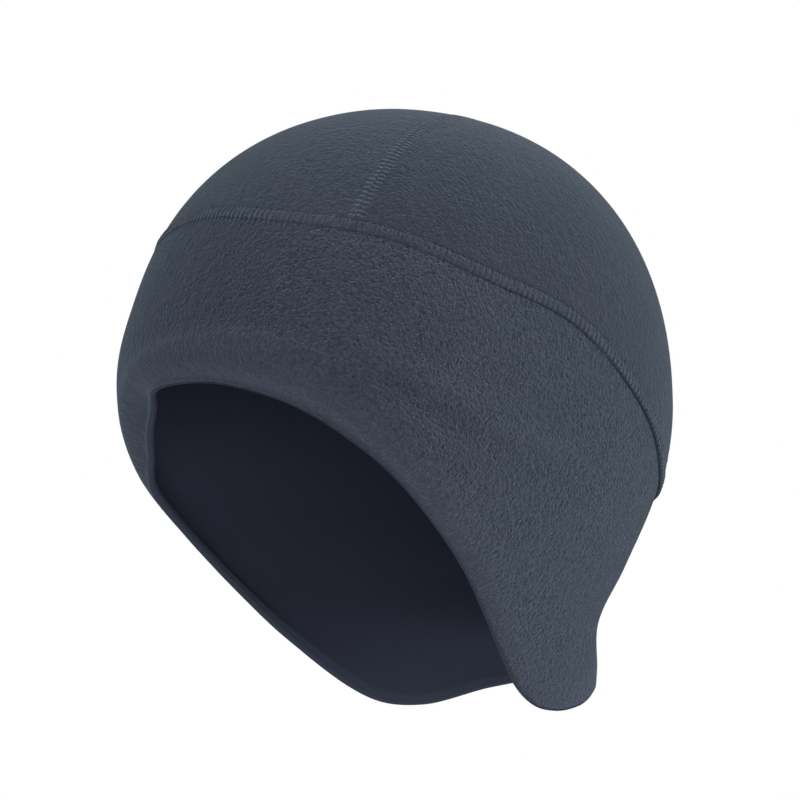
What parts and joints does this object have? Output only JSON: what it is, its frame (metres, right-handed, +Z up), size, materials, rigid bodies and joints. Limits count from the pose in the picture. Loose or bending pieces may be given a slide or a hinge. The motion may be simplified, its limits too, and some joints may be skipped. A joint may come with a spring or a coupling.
{
  "type": "fleece beanie with ear flaps",
  "caption": "Close-fitting fleece hat: panelled domed crown, deep band arched over the brow and dropping into an ear flap on each side, thin dark lining, open below for a head.",
  "frame": {"origin": "where the lining rests on top of a head, under the crown, midway between the sides", "axes": "+Z up, the brow faces -Y, the wearer's left ear flap is on the +X side"},
  "size_m": [0.1656, 0.1983, 0.2084],
  "materials": {
    "crown_fleece": "short brushed polyester fleece, matt with a faint sheen",
    "band_fleece": "short brushed polyester fleece, matt with a faint sheen",
    "lining_knit": "smooth matt knit"
  },
  "bodies": {
    "root": {"crown_front": "crown_fleece", "crown_left": "crown_fleece", "crown_back": "crown_fleece", "crown_right": "crown_fleece", "ear_band": "band_fleece", "lining": "lining_knit"}
  },
  "joints": []
}
